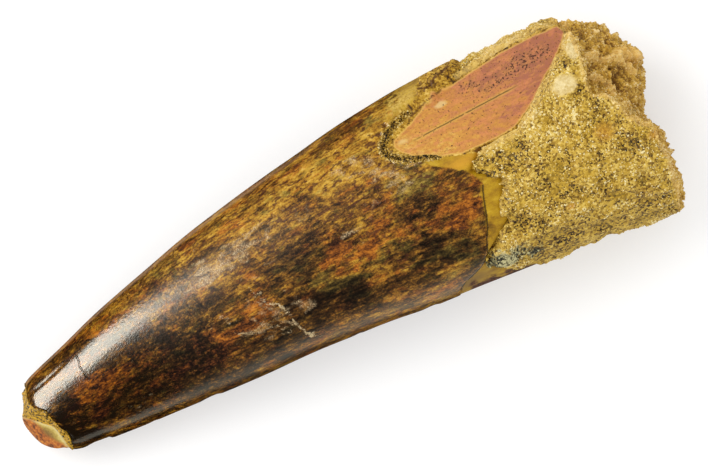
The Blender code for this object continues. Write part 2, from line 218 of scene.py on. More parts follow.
# Soft patches of the crown's colour, each (x, y, half length, half width, strength).
CROWN_SPOTS = {
    "tone": (
        (-27, -1, 9, 5.5, -0.55), (-17, -2, 5, 3.5, -0.3), (-31.8, -2.5, 1.6, 1.7, -1.9),
        (-29, -3.2, 2.5, 0.8, -0.5), (-27.8, -0.6, 2.4, 1.5, 0.15), (-33.2, 2.7, 1.5, 0.9, -0.3),
        (-29.2, 3.5, 1.6, 0.35, -0.5), (-26.5, 4, 2, 0.5, -0.3), (-24, -2.8, 3, 1.6, -0.6),
        (-20.5, 1.2, 4.5, 1, -0.3), (-17.5, -2, 5.5, 2.6, -0.4), (-11.8, 1, 1.8, 3, 0.1),
        (-10.5, -1.2, 2.2, 0.8, 0.05), (-8.5, 3, 4.5, 1, 0.2), (-8, -3.6, 4.5, 1.3, -0.6),
        (-4.5, 0.8, 4.5, 0.8, -0.35), (-1.6, 2.1, 3.2, 0.9, -0.45), (-3.5, -3, 4, 1.6, -0.55),
        (0, -4.3, 3.5, 0.8, -0.45), (3.5, -1.6, 3.6, 1.5, 0.4), (6.3, -2.5, 1.1, 0.4, -1),
        (8.3, -3.4, 1.5, 2, -0.75), (9.2, 0.8, 2.4, 0.9, -0.4), (11, -1.2, 1.2, 1.4, -0.35),
        (6, -3.8, 1.6, 0.5, 0.35), (12.4, -2.6, 1.6, 2.2, 0.2), (11, -5, 2.5, 0.8, -0.4),
        (3, 3.6, 5, 1.2, 0.2), (10, 3.2, 2.2, 1.2, -0.05), (2, -5.4, 11, 1.6, -0.3),
        (-12, -5.5, 12, 1.2, -0.3), (10, 4.2, 2.2, 1.2, 0.7), (0, 9, 13, 2, 0.5), (-16, 7, 6, 0.8, 0.2),
        (-24.5, 5.6, 3, 0.5, 0.1), (5.5, 10, 2.5, 0.35, -0.6), (-3.8, 9.3, 1.8, 0.4, -0.5),
        (11.8, 10.6, 3.4, 1, 0.6), (4, 6.8, 5, 1.3, 0.45), (-7, 6.4, 4, 1, 0.3), (-4, 4.7, 3.5, 0.7, -0.25),
    ),
    "warm": (
        (-27.8, -0.6, 2.8, 1.7, 0.8), (-30, 3.2, 2.5, 0.7, 0.5), (-24, 5, 4, 0.7, 0.4),
        (-17, -2.4, 6, 1.2, 0.4), (-10.6, -1.2, 2.6, 1, 0.7), (1, 0.2, 2.8, 0.5, 0.9), (4, -1.2, 3, 1, 0.9),
        (8.8, -0.5, 1.6, 0.5, 1), (6.4, 2.4, 2.5, 1.2, 0.5), (13, -1.6, 1.8, 2.2, 0.8),
        (14.3, 2.2, 1.4, 0.7, 0.5), (-1, -2, 2, 1.6, -0.7), (-5, 0.6, 3, 1, -0.4),
        (9.6, 2.6, 2.4, 1.4, -0.9), (5.5, -2.4, 2.5, 0.6, -0.5), (10.5, -4.8, 3, 1, -0.7),
        (8.7, 10.8, 1, 0.5, -0.8), (-16.5, 7.2, 2, 0.6, -0.4), (0.5, 8, 2, 0.4, -0.5),
    ),
    # Pale patches: dust by the scratches, and a painted sheen along the upper side where the highlight fades.
    "dust_and_sheen_spots": (
        (-12.8, 5.2, 0.5, 0.45, 0.9), (-7.4, 5.5, 1.5, 0.6, 0.55), (-10, 4.9, 1.8, 0.8, 0.4),
        (4.3, 7.1, 1.8, 0.6, 0.5), (7.8, 5.7, 1.2, 0.5, 0.55), (2.2, 1.3, 1.2, 0.4, 0.75),
        (-13.6, -0.3, 0.8, 0.4, 0.6), (-6.4, 2.3, 1.6, 0.5, 0.4), (-11.4, -2.7, 1.6, 0.5, 0.45),
        (-9, -3.8, 2.5, 0.6, 0.35), (-24.6, -3.4, 0.8, 0.9, 0.3), (-13.3, 7.3, 0.4, 0.8, 0.5),
        (6.6, 6.4, 2, 0.8, 0.35), (-14.5, 4, 1.5, 0.5, 0.3), (9, 4.4, 1.8, 1.2, 0.65),
        (-9.5, -1.5, 2.5, 1.2, 0.5), (-7, -3, 1.6, 1.2, 0.5), (-11.5, 4.4, 2.2, 1, 0.5),
        (-3, 5.6, 4, 0.8, 0.35), (4.5, 2.2, 2.5, 0.8, 0.4),
    ),
}
# The same for the dentine, as "dots", "pale" and "rose", and for the cement.
BASE_SPOTS = {
    "dots": (
        (24.5, 8.6, 3, 0.9, 1), (19.4, 8.9, 1.6, 0.5, 0.9), (20.3, 7.8, 1.2, 0.5, 0.7),
        (23, 7.8, 2.5, 0.6, 0.6), (27, 8.2, 1.5, 1, 0.7), (16, 6, 5, 2, 0.25),
    ),
    "pale": (
        (15.9, 8.5, 0.8, 0.35, 1.3), (10.8, 7, 0.9, 0.35, 0.9), (13, 6, 0.5, 0.2, 0.5),
        (18.6, 6, 1, 0.25, 0.4),
    ),
    "rose": (
        (21.8, 4.5, 1.6, 0.5, 0.3), (21, 9, 1.5, 0.5, 0.3), (24, 6.5, 2, 0.8, 0.2),
        (17.5, 4.2, 1.5, 0.4, 0.15), (27.5, 9.6, 2, 0.5, 0.2), (15, 5, 2, 0.7, -0.12),
        (19, 7.4, 2, 0.4, -0.12), (25.5, 7.4, 1.5, 0.4, -0.1),
    ),
    "tan": ((10.2, -8.4, 2.8, 0.6, 1),),
    "wedge": ((14.8, 2.4, 2.2, 0.7, 0.7),),
    "upper_neck": ((12, 10.6, 3.2, 0.9, 0.8),),
}
STONE_SPOTS = {
    "cream": (
        (27.7, 4.5, 1.35, 1.15, 1.6), (29.7, 7.2, 0.6, 1, 1.5), (24, 1.6, 4, 1.4, 0.5),
        (19, 2.2, 1.5, 0.6, 0.5), (29.8, 5, 0.5, 1.6, 0.6), (32.9, 8.4, 0.8, 0.9, 0.7),
        (25.5, 4.6, 2.2, 0.9, 0.4), (23.5, 3.4, 1.5, 0.6, 0.6), (30.5, 1, 0.8, 1.2, 0.5),
        (33, -6, 0.5, 1.6, 0.5), (17.7, 10.45, 0.6, 0.25, 0.8), (19.5, 10.4, 0.6, 0.25, 0.7),
        (24, 11, 5, 0.7, 0.8),
    ),
    "grey": (
        (14.4, -8.1, 2.8, 0.9, 0.9), (17.4, -9, 1, 0.5, 0.7), (19.2, -4, 0.8, 0.8, 0.3),
        (26.8, -8.4, 0.8, 0.7, 0.3), (23.5, -8.8, 0.8, 0.8, 0.3), (32.5, -1, 0.8, 1.2, 0.4),
        (20.8, -1.8, 0.7, 0.5, 0.3), (30, -4.4, 0.5, 0.4, 0.3),
    ),
    "gold": (
        (28.8, -1.5, 1.3, 1.2, 0.9), (22.5, -6.5, 0.5, 0.3, 1.2), (33, -4, 0.8, 0.5, 1),
        (35, 3.4, 0.9, 1.6, 0.7), (33.8, -8, 0.4, 3.5, 0.7), (16.2, -6.8, 1.2, 0.8, 0.5),
        (29.5, -9, 2, 1.5, 0.4), (34, 6.5, 1, 1.5, 0.5),
    ),
    "brown": (
        (31.5, 8, 1, 1.6, 0.8), (31.3, 3, 0.6, 0.5, 0.9), (33, 2.5, 1.2, 1.2, 0.6),
        (31.2, -3.6, 1.3, 0.9, 0.7), (28.8, 6.4, 0.8, 0.5, 0.9), (17, 10.9, 1.6, 0.4, 0.9),
        (26.8, -2, 0.5, 0.3, 0.5), (20, 1.3, 1.8, 0.6, 0.4),
    ),
}
# The pale pebble in the crust, as (x, y, half length, half width).
PEBBLE = (27.7, 4.5, 1.45, 1.2)
# The ridges that stand up on the broken end, each (points, half width, height), seen from above.
RIDGES = (
    ((
        (30.2, 9.3), (30.3, 8), (30.2, 6.1), (29.6, 4.2), (29.5, 2.4), (30.3, 1.8), (31, 1.2), (31.3, 0),
        (31.8, -1.8), (32.5, -2.7), (33.3, -3.1), (33.3, -5), (33.2, -7), (32.8, -8.5), (32.6, -10),
        (32.2, -11.9),
    ), 0.35, 0.25),
    (((30.7, 3.9), (31.3, 3.2), (31.9, 2.5), (31.6, 1.4)), 0.3, 0.5),
    (((31, 6), (32.5, 5), (33.8, 4.2), (34.4, 3.2), (34.5, 2.5)), 0.3, 0.6),
    (((34, 4.8), (35, 4.3), (36, 3.6)), 0.6, 0.5),
)
# The stone's lumps, each (size, height on its sides, how much higher on its end, seed).
STONE_LUMPS = ((2.4, 0.4, 0, 4), (0.9, 0.15, 0.55, 5), (0.4, 0.12, 0.12, 6))
STONE_DROP, END_DROP, PEBBLE_RISE = 0.1, 0.35, 0.1

# The joined meshes of sand grains, each (name, number of grains, smallest and largest size, how round,
# least and most sunk in as a share of the radius, seed).
GRAINS = (
    ("fine_grains_a", 9500, (0.16, 0.28), 1, (-0.1, 0.6), 1),
    ("fine_grains_b", 9500, (0.16, 0.28), 1, (-0.1, 0.6), 2),
    ("fine_grains_c", 9000, (0.16, 0.28), 1, (-0.1, 0.6), 4),
    ("coarse_grains", 700, (0.3, 0.55), 2, (0.3, 0.9), 3),
)

ENAMEL_IOR = 1.37
FLOOR_REACH, FLOOR_GREY, FLOOR_GLOW = 3, 0.6, 0.4
CAMERA_ROLL = math.radians(-28)
CAMERA_AIM = (2.04, 1.08, 9.5)
PHOTO_WIDTH, LENS, SENSOR = 70.8, 600, 36
# Soft boxes, each (name, place, direction, width and height, radiance, colour, the light it is kept to).
LIGHTS = (
    ("key", (-210, 250, 510), (0.35, -0.42, -0.84), (350, 350), 4, (1, 1, 1), "diffuse"),
    ("strip", (-77.5, 33.3, 37.5), (0.56, -0.63, -0.53), (64, 36), 26, (1, 0.99, 0.88), "glossy"),
    ("bounce", (-4, -62, 0.5), (0, 0.02, 1), (130, 84), 1.8, (1, 0.96, 0.78), "glossy"),
)
WORLD_STRENGTH = 1


def smooth_curve(points, at):
    """The values at places on the smooth curve through (place, value) points."""
    places, values = np.array(points).T
    at = np.clip(at, places[0], places[-1])
    i = np.clip(np.searchsorted(places, at, side="right") - 1, 0, len(places) - 2)
    before, after = np.maximum(i - 1, 0), np.minimum(i + 2, len(places) - 1)
    width = places[i + 1] - places[i]
    slope0 = (values[i + 1] - values[before]) / (places[i + 1] - places[before])
    slope1 = (values[after] - values[i]) / (places[after] - places[i])
    t = (at - places[i]) / width
    return (
        (2 * t**3 - 3 * t**2 + 1) * values[i]
        + (t**3 - 2 * t**2 + t) * width * slope0
        + (3 * t**2 - 2 * t**3) * values[i + 1]
        + (t**3 - t**2) * width * slope1
    )


def ramp(value, start, end):
    """Rises smoothly from 0 at start to 1 at end."""
    t = np.clip((value - start) / (end - start), 0, 1)
    return t * t * (3 - 2 * t)


def hill(value, centre, half_width):
    """1 where the value is at the centre, falling to 0 on both sides."""
    return np.exp(-(((value - centre) / half_width) ** 2))


def line_distance(points, x, y, closed=False):
    """How far each place is from a line drawn from above."""
    nearest = np.full(np.shape(x), 1e9)
    ends = points[1:] + points[:1] if closed else points[1:]
    for (x0, y0), (x1, y1) in zip(points, ends):
        along_x, along_y = x1 - x0, y1 - y0
        t = np.clip(((x - x0) * along_x + (y - y0) * along_y) / (along_x**2 + along_y**2), 0, 1)
        nearest = np.minimum(nearest, np.hypot(x - x0 - t * along_x, y - y0 - t * along_y))
    return nearest


def near_line(points, x, y, half_width):
    """1 on a line drawn from above, falling to 0 away from it."""
    return hill(line_distance(points, x, y), 0, half_width)


def depth_inside(outline, x, y):
    """How far inside an outline drawn from above each place is. It is less than 0 outside."""
    within = np.zeros(np.shape(x), bool)
    for (x0, y0), (x1, y1) in zip(outline, outline[1:] + outline[:1]):
        if y0 != y1:
            crosses = (y0 > y) != (y1 > y)
            within ^= crosses & (x < x0 + (y - y0) * (x1 - x0) / (y1 - y0))
    distance = line_distance(outline, x, y, closed=True)
    return np.where(within, distance, -distance)


def marked_depth(outline, points):
    """The depth inside an outline that is drawn only on the top side."""
    x, y, z = np.moveaxis(points, -1, 0)
    return np.where(z > MARKED_HEIGHT, depth_inside(outline, x, y), -FAR)


def lumps(points, size, seed, octaves=1):
    """Smooth noise, about -0.5 to 0.5, in lumps of about this size, which may differ along each axis."""
    moved = points / np.asarray(size) + seed * 17.31
    found = [noise.fractal(p, 1, 2, octaves) for p in moved.reshape(-1, 3).tolist()]
    return np.array(found).reshape(points.shape[:-1])


def patches(spots, x, y):
    """The sum of soft round patches, each (x, y, half length, half width, strength)."""
    total = np.zeros(np.shape(x))
    for at_x, at_y, long, wide, strength in spots:
        total += strength * np.exp(-(((x - at_x) / long) ** 2) - ((y - at_y) / wide) ** 2)
    return total


def surface_along(origins, directions, outside, far):
    """Where each ray leaves a solid, found by halving. outside(points) is above 0 outside it."""
    near = np.zeros(origins.shape[:-1])
    beyond = np.full(origins.shape[:-1], float(far))
    for _ in range(22):
        middle = (near + beyond) / 2
        out = outside(origins + directions * middle[..., None]) > 0
        beyond = np.where(out, middle, beyond)
        near = np.where(out, near, middle)
    return beyond


def spread(places, weight, count):
    """This many places along a range, closer together where the weight is greater."""
    dense = np.linspace(places[0], places[1], 4001)
    share = np.cumsum(weight(dense))
    share = (share - share[0]) / (share[-1] - share[0])
    return np.interp(np.arange(count) / count, share, dense)


def rays(ring_places, angles, outline, start_tilts, end_tilts):
    """Rays from the solid's middle line: a rounded start, rings across it and a rounded end."""
    first, last = ring_places[0], ring_places[-1]
    places = np.concatenate([np.full(len(start_tilts), first), ring_places, np.full(len(end_tilts), last)])
    tilts = np.concatenate([-np.asarray(start_tilts), np.zeros(len(ring_places)), end_tilts])
    middle, height = section(outline, places)[:2]
    rows = np.stack([places, middle, height], -1)
    origins = np.repeat(rows[:, None], len(angles), 1)
    across = np.cos(tilts)[:, None]
    directions = np.stack([
        np.repeat(np.sin(tilts)[:, None], len(angles), 1),
        across * np.cos(angles)[None],
        across * np.sin(angles)[None],
    ], -1)
    return origins, directions


def outward(points):
    """The outward direction at each point of a grid that closes round its columns."""
    along = np.gradient(points, axis=0)
    around = np.roll(points, -1, 1) - np.roll(points, 1, 1)
    normal = np.cross(around, along)
    return normal / np.maximum(np.linalg.norm(normal, axis=-1, keepdims=True), 1e-9)


def solid_box():
    """The lowest and highest corners that the meshes keep to."""
    low, high = (np.array(corner) / MM for corner in CAD_BOX)
    return low + BOX_MARGIN, high - BOX_MARGIN


def kept_in_box(points, room):
    """The points, moved by the shift that centres the piece and eased in where they near the solids' box."""
    low, high = solid_box()
    moved = points + CENTRE_SHIFT
    over = np.maximum(moved - (high - room), 0)
    moved = moved - over + room * (1 - np.exp(-over / room))
    under = np.maximum(low + room - moved, 0)
    under[..., 2] = 0
    moved = moved + under - room * (1 - np.exp(-under / room))
    return np.maximum(moved, low)


def add_object(name, data):
    made = bpy.data.objects.new(name, data)
    bpy.context.scene.collection.objects.link(made)
    return made


def grid_mesh(name, points, fields):
    """A closed mesh over a grid of points. Its first and last rows each close on a point of their own."""
    rows, columns, _ = points.shape
    ends = points[[0, -1]].mean(1)
    places = np.concatenate([ends[:1], points.reshape(-1, 3), ends[1:]])
    index = 1 + np.arange(rows * columns).reshape(rows, columns)
    following = np.roll(index, -1, 1)
    faces = np.stack([index[:-1], following[:-1], following[1:], index[1:]], -1).reshape(-1, 4).tolist()
    faces += [(0, b, a) for a, b in zip(index[0].tolist(), following[0].tolist())]
    last = rows * columns + 1
    faces += [(last, a, b) for a, b in zip(index[-1].tolist(), following[-1].tolist())]
    mesh = bpy.data.meshes.new(name)
    mesh.from_pydata((places * MM).tolist(), [], faces)
    mesh.shade_smooth()
    for key, values in fields.items():
        each = values.reshape(rows * columns, -1)
        first_end, last_end = ([values[row].mean(0).ravel()] for row in (0, -1))
        whole = np.concatenate([first_end, each, last_end]).astype(np.float32)
        kind, slot = ("FLOAT_VECTOR", "vector") if each.shape[1] == 3 else ("FLOAT", "value")
        mesh.attributes.new(key, kind, "POINT").data.foreach_set(slot, whole.ravel())
    lay_out(mesh, points)
    return add_object(name, mesh)


def lay_out(mesh, points):
    """A map that unrolls the grid, with its rows and columns as wide as they are on the piece."""
    rows, columns, _ = points.shape
    along = np.linalg.norm(np.diff(points, axis=0), axis=-1).mean(1)
    around = np.linalg.norm(np.roll(points, -1, 1) - points, axis=-1).mean(0)
    v = 0.01 + 0.98 * np.concatenate([[0], np.cumsum(along)]) / along.sum()
    u = 0.01 + 0.98 * np.concatenate([[0], np.cumsum(around)]) / around.sum()
    corners = np.zeros(len(mesh.loops), int)
    mesh.loops.foreach_get("vertex_index", corners)
    at = corners - 1
    row, column = at // columns, at % columns
    starts = np.zeros(len(mesh.polygons), int)
    mesh.polygons.foreach_get("loop_start", starts)
    quads = (rows - 1) * columns
    first = np.repeat(column[starts[:quads]], 4)
    # A quad's corners stand in two columns, and the last quad of a row ends on the map's far side.
    quad_column = column[: 4 * quads]
    wrapped = (first == columns - 1) & (quad_column == 0)
    quad_column = np.where(wrapped, columns, quad_column)
    found_u = np.empty(len(corners))
    found_v = np.empty(len(corners))
    found_u[: 4 * quads] = u[quad_column]
    found_v[: 4 * quads] = v[row[: 4 * quads]]
    turn = np.arange(columns)
    for n, (edge, order) in enumerate(((0, (1, 0)), (1, (0, 1)))):
        start = 4 * quads + 3 * columns * n
        found_u[start : start + 3 * columns : 3] = (u[turn] + u[turn + 1]) / 2
        found_v[start : start + 3 * columns : 3] = edge
        for corner, side in enumerate(order, 1):
            found_u[start + corner : start + 3 * columns : 3] = u[turn + side]
            found_v[start + corner : start + 3 * columns : 3] = v[0] if n == 0 else v[-1]
    set_map(mesh, np.stack([found_u, found_v], -1))


def set_map(mesh, places):
    """Gives the mesh this place on its map for each corner of its faces."""
    layer = mesh.uv_layers.new(name="OFBake")
    layer.data.foreach_set("uv", places.ravel().astype(np.float32))


def section(outline, x):
    """A piece's middle, the height of its middle, half its width and half its height."""
    upper, lower, underside, half_height = (smooth_curve(line, x) for line in outline)
    return (upper + lower) / 2, underside + half_height, (upper - lower) / 2, half_height


def outside_section(points, outline):
    middle, height, half_width, half_height = section(outline, points[..., 0])
    across = np.abs((points[..., 1] - middle) / half_width) ** SECTION_POWER
    return across + np.abs((points[..., 2] - height) / half_height) ** SECTION_POWER - 1


def outside_tooth(points):
    beyond = np.maximum(outside_section(points, TOOTH_OUTLINE), TIP_APEX - points[..., 0])
    for place, direction in WORN_FACES:
        beyond = np.maximum(beyond, (points - np.array(place)) @ np.array(direction))
    return beyond


def end_slope(y, height):
    """Where the broken end stands at this place across the stone and at this height."""
    outer, top = smooth_curve(END_OUTER_EDGE, y), smooth_curve(END_TOP_EDGE, y)
    crown = 10 + 10.2 * np.sqrt(np.maximum(1 - (y / 12.6) ** 2, 0.02))
    rise = np.clip((height - END_SLOPE_FOOT) / (crown - END_SLOPE_FOOT), 0, 1.3)
    tread = LEDGE_DEPTH * np.sin(2 * math.pi * rise) * ramp(y, -1.5, 2)
    return outer + (top - outer) * rise**1.35 + tread


def outside_stone(points):
    end = end_slope(points[..., 1], points[..., 2])
    return np.maximum(outside_section(points, STONE_OUTLINE), points[..., 0] - end)


def break_along(origins, directions):
    """How far along rays across the tooth the surface of the break lies. Rays away from it never meet it."""
    tilt_y, tilt_z = math.sin(BREAK_SLANT), math.cos(BREAK_SLANT)
    deepest_x, deepest_y, deepest_z = BREAK_DEEPEST
    sag = BREAK_RADIUS - np.sqrt(np.maximum(BREAK_RADIUS**2 - (origins[..., 0] - deepest_x) ** 2, 0))
    level = deepest_y * tilt_y + deepest_z * tilt_z + sag
    rise = directions[..., 1] * tilt_y + directions[..., 2] * tilt_z
    gap = level - (origins[..., 1] * tilt_y + origins[..., 2] * tilt_z)
    return np.where(rise > 0.05, gap / np.maximum(rise, 0.05), 1e3)


def crust_border(angles):
    return smooth_curve(CRUST_BORDER, np.degrees(angles) % 360)


def tooth_angles():
    """The columns of the tooth's grid, closest together over the break and far apart underneath."""

    def weight(angle):
        top = ramp(np.sin(angle), -0.4, 0.2)
        over_break = ramp(angle, 0.15, 0.4) * ramp(angle, 1.55, 1.3)
        return 0.6 + 0.7 * top + 1.3 * over_break

    return spread((0, 2 * math.pi), weight, TOOTH_COLUMNS)


def tooth_rows():
    """The rings of the tooth's grid, closest together round the broken rim."""
    return np.concatenate([
        np.linspace(TIP_BASE, RIM_ROWS_FROM, CROWN_ROWS, endpoint=False),
        np.linspace(RIM_ROWS_FROM, RIM_ROWS_TO, RIM_ROWS, endpoint=False),
        np.linspace(RIM_ROWS_TO, ROOT_END, ROOT_ROWS),
    ])


def crack_distance(points):
    """How far along X the nearer crack is, less than 0 on its left. It is far where there is none."""
    x, y, z = np.moveaxis(points, -1, 0)
    tip, base = (
        np.where((y > line[0][0]) & (y < line[-1][0]), x - smooth_curve(line, y), FAR)
        for line in (TIP_CRACK, BASE_CRACK)
    )
    return np.where(z > CRACKED_HEIGHT, np.where(x < -10, tip, base), FAR)


def tooth_marks(points):
    """How far each point is past the enamel's edges, from the dark rim and inside the rough neck."""
    x, y, z = np.moveaxis(points, -1, 0)
    return {
        "worn": smooth_curve(TIP_ENAMEL_EDGE, y) - x,
        "neck": x - smooth_curve(BASE_ENAMEL_EDGE, y),
        "dark_rim": np.where(z > MARKED_HEIGHT, line_distance(DARK_RIM, x, y), FAR),
        "rough_neck": marked_depth(ROUGH_NECK, points),
    }


def scratched(points):
    """Near 1 along the scratches, which run crookedly."""
    x, y = (points[..., axis] + 0.7 * lumps(points, 1.2, seed, 3) for axis, seed in ((0, 9), (1, 10)))
    found = near_line(SCAR, x, y, 0.2)
    for line in SCRATCHES:
        found = np.maximum(found, 0.6 * near_line(line, x, y, 0.3))
    return found


def tooth_fields(points, turn, rim, facet):
    """What the tooth's colours follow, at each point."""
    x, y, z = np.moveaxis(points, -1, 0)
    above = ramp(np.sin(turn), -0.25, 0.15)
    wavy_x, wavy_y = (
        points[..., axis] + reach * lumps(points, (3, 1.3, 1.3), seed, 3)
        for axis, reach, seed in ((0, 3.5, 14), (1, 1.6, 15))
    )
    marks = tooth_marks(points)
    low_strip = np.hypot(line_distance(LOW_STRIP, x, y), 0.3 * np.maximum(11.5 - z, 0))
    along = 0.5 * x + 0.4 * np.minimum(x + 14, 0)
    fields = marks | {
        "facet": facet,
        "rim": rim,
        "neck": marks["neck"] / (1 + 6 * ramp(y, 5, 9)),
        "worn_face": smooth_curve(TIP_FACE_EDGE, y) - x,
        "worn_lip": smooth_curve(TIP_LIP_EDGE, y) - x,
        "crack": crack_distance(points),
        # A pale line along the upper edge: partly wear, partly a painted highlight.
        "carina_wear_and_sheen": hill(turn, CARINA_SHEEN_ANGLE, CARINA_HALF_WIDTH) * ramp(x, 8, -8),
        "scar": scratched(points) * above,
        "low_strip": low_strip + 0.4 * lumps(points, 1.4, 16, 3),
        "crevice": sum(near_line(line, x, y, 0.2) for line in CREVICES) + patches([NOTCH], x, y),
        "lengthwise": np.stack([along, 9 * np.cos(turn), 9 * np.sin(turn)], -1),
    }
    for key, spots in CROWN_SPOTS.items():
        fields[key] = patches(spots, wavy_x, wavy_y) * above
    for key, spots in BASE_SPOTS.items():
        fields[key] = patches(spots, x, y)
    return fields


def chipped(x, turn):
    """How deep the chips along the lower edge are."""
    total = np.zeros(np.shape(x))
    for start, end, depth in CHIPS:
        total += depth * ramp(x, start, start + 1.5) * ramp(x, end, end - 0.4)
    return total * hill(turn, math.pi, 0.35)


def fine_relief(whole, met, turn, facet, ragged):
    """How far rough bands, steps, the groove, the low ridge, swells and chips stand out."""
    x, y, _ = np.moveaxis(met, -1, 0)
    worn, neck, dark_rim, rough_neck = tooth_marks(met).values()
    on_rim = ramp(dark_rim, 0.65, 0.35) * ramp(facet, 0.1, -0.1)
    on_tip = ramp(worn, 0, 0.15) * ramp(worn, 0.8, 0.5)
    on_neck = ramp(rough_neck, -0.1, 0.4) * ramp(facet, 0, -0.3)
    roughness = RIM_ROUGHNESS * on_rim + TIP_ROUGHNESS * on_tip + NECK_ROUGHNESS * on_neck
    height = roughness * lumps(whole, 0.5, 1, 3) - 0.03 * on_rim - SURFACE_DROP
    height = height - GROOVE_DEPTH * near_line(GROOVE, x, y, 0.2) * ramp(x, -28.5, -30.5)
    height = height - TIP_STEP * ramp(worn + 0.2 * ragged, 0, 0.18) * ramp(worn, 1.8, 0.9)
    height = height - BASE_STEP * ramp(neck + 0.3 * ragged, 0, 0.3) * ramp(y, 6, 4)
    height = height + CARINA_HEIGHT * hill(turn, CARINA_ANGLE, CARINA_HALF_WIDTH) * ramp(x, 10, -6)
    return height + SWELL_HEIGHT * lumps(whole, SWELL_SIZE, 8) - chipped(x, turn)


def tooth_surface():
    """The tooth's surface and what its colours follow."""
    angles = tooth_angles()
    tilts = np.linspace(math.pi / 2, 0, TIP_ROWS, endpoint=False) * 0.992
    origins, directions = rays(tooth_rows(), angles, TOOTH_OUTLINE, tilts, [])
    reach = surface_along(origins, directions, outside_tooth, 14)
    broken = break_along(origins, directions)
    turn = np.broadcast_to(angles, reach.shape)
    whole = origins + directions * reach[..., None]
    met = origins + directions * np.minimum(reach, broken)[..., None]
    rim, facet = (marked_depth(outline, met) for outline in (BREAK_RIM, FACET))
    ragged = lumps(whole, 1.1, 2, 3)
    drop = np.maximum(reach - broken, 0) * ramp(rim + 0.35 * ragged, -0.05, RIM_SLOPE)
    start = crust_border(angles)[None] - ROOT_INSET_LEAD
    drop = drop + ROOT_INSET * ramp(met[..., 0], start, start + ROOT_INSET_LENGTH) * (facet < -0.2)
    reach = reach - drop + fine_relief(whole, met, turn, facet, ragged)
    points = origins + directions * reach[..., None]
    return kept_in_box(points, TOOTH_ROOM), tooth_fields(points, turn, rim, facet)


def stone_angles():
    return spread((0, 2 * math.pi), lambda a: 0.75 + 0.5 * ramp(np.sin(a), -0.5, 0.2), STONE_COLUMNS)


def end_tilts():
    """Tilts whose rays meet the broken end about evenly."""
    depth, radius = 6.2, 10.6
    path = np.linspace(0, depth + radius, STONE_END_ROWS + 1, endpoint=False)[1:]
    along = np.minimum(path, depth)
    left = radius - np.maximum(path - depth, 0)
    return np.arctan2(along, left)


def ridge_height(x, y):
    heights = [height * near_line(line, x, y, half_width) for line, half_width, height in RIDGES]
    return np.maximum.reduce(heights)


def opened_stone(origins, directions, angles):
    """The plain stone's points, its reach once the crust thins out and opens over the break, and how
    far inside that opening each place is."""
    reach = surface_along(origins, directions, outside_stone, 18)
    points = origins + directions * reach[..., None]
    ragged = lumps(points, 1.3, 3, 3)
    border = crust_border(angles)[None] - CRUST_STEP_LENGTH / 2 + 0.8 * ragged
    border = border + 0.9 * lumps(points, 0.6, 13, 2)
    under = CRUST_STEP * (1 - ramp(points[..., 0], border, border + CRUST_STEP_LENGTH))
    broken = break_along(origins, directions)
    met = origins + directions * np.minimum(reach, broken)[..., None]
    opening = np.where(points[..., 2] > MARKED_HEIGHT, depth_inside(OPENING, met[..., 0], met[..., 1]), -FAR)
    dip = np.maximum(reach - broken + 0.6, 0) * ramp(opening + 0.15 * ragged, -0.4, 0)
    slope = np.maximum(reach - broken - 0.1, 0) * 0.6 * ramp(opening + 0.4 * ragged, -1.5, -0.2)
    return points, reach - np.maximum(np.maximum(under, dip), slope), opening


def stone_surface():
    """The stone's surface, what its colours follow, and where grains may lie on it."""
    angles = stone_angles()
    rings = np.linspace(STONE_FIRST_RING, STONE_LAST_RING, STONE_RINGS)
    origins, directions = rays(rings, angles, STONE_OUTLINE, [], end_tilts())
    whole, reach, opening = opened_stone(origins, directions, angles)
    x, y, z = np.moveaxis(whole, -1, 0)
    points = origins + directions * reach[..., None]
    top = ramp(z, 6, 9)
    at_end = ramp(x - smooth_curve(END_TOP_EDGE, y), -0.6, 0.6)
    pebble = ramp(np.hypot((x - PEBBLE[0]) / PEBBLE[2], (y - PEBBLE[1]) / PEBBLE[3]), 1.1, 0.9) * top
    ridge = ridge_height(x, y) * top
    crest = np.zeros(x.shape)
    for size, height, more_at_end, seed in STONE_LUMPS:
        crest = crest + (height + more_at_end * at_end) * lumps(points, size, seed, 2)
    crest = crest + ridge
    relief = crest * (1 - 0.85 * pebble) * ramp(opening, 0, -0.4)
    relief = relief + PEBBLE_RISE * pebble - STONE_DROP - END_DROP * at_end
    points = kept_in_box(points + outward(points) * relief[..., None], STONE_ROOM)
    by_opening = (opening > -2.5) & (points[..., 0] > 15)
    shown = ((outside_tooth(points) > 0.03) | (x > ROOT_END) | by_opening) & (opening < -0.2) & (pebble < 0.2)
    fields = {"opening": opening, "ridge": ridge, "at_end": at_end, "crest": crest}
    for key, spots in STONE_SPOTS.items():
        fields[key] = patches(spots, x, y) * top
    return points, fields, shown


def colour(red, green, blue):
    """A colour from its values of 0 to 255, in the linear form that shaders use."""
    shares = (v / 255 for v in (red, green, blue))
    return tuple(((v + 0.055) / 1.055) ** 2.4 if v > 0.04045 else v / 12.92 for v in shares) + (1,)


def set_inputs(shader, **values):
    """Sets a shader's own sockets. Their names have _ in place of spaces."""
    for key, value in values.items():
        shader.inputs[key.replace("_", " ")].default_value = value


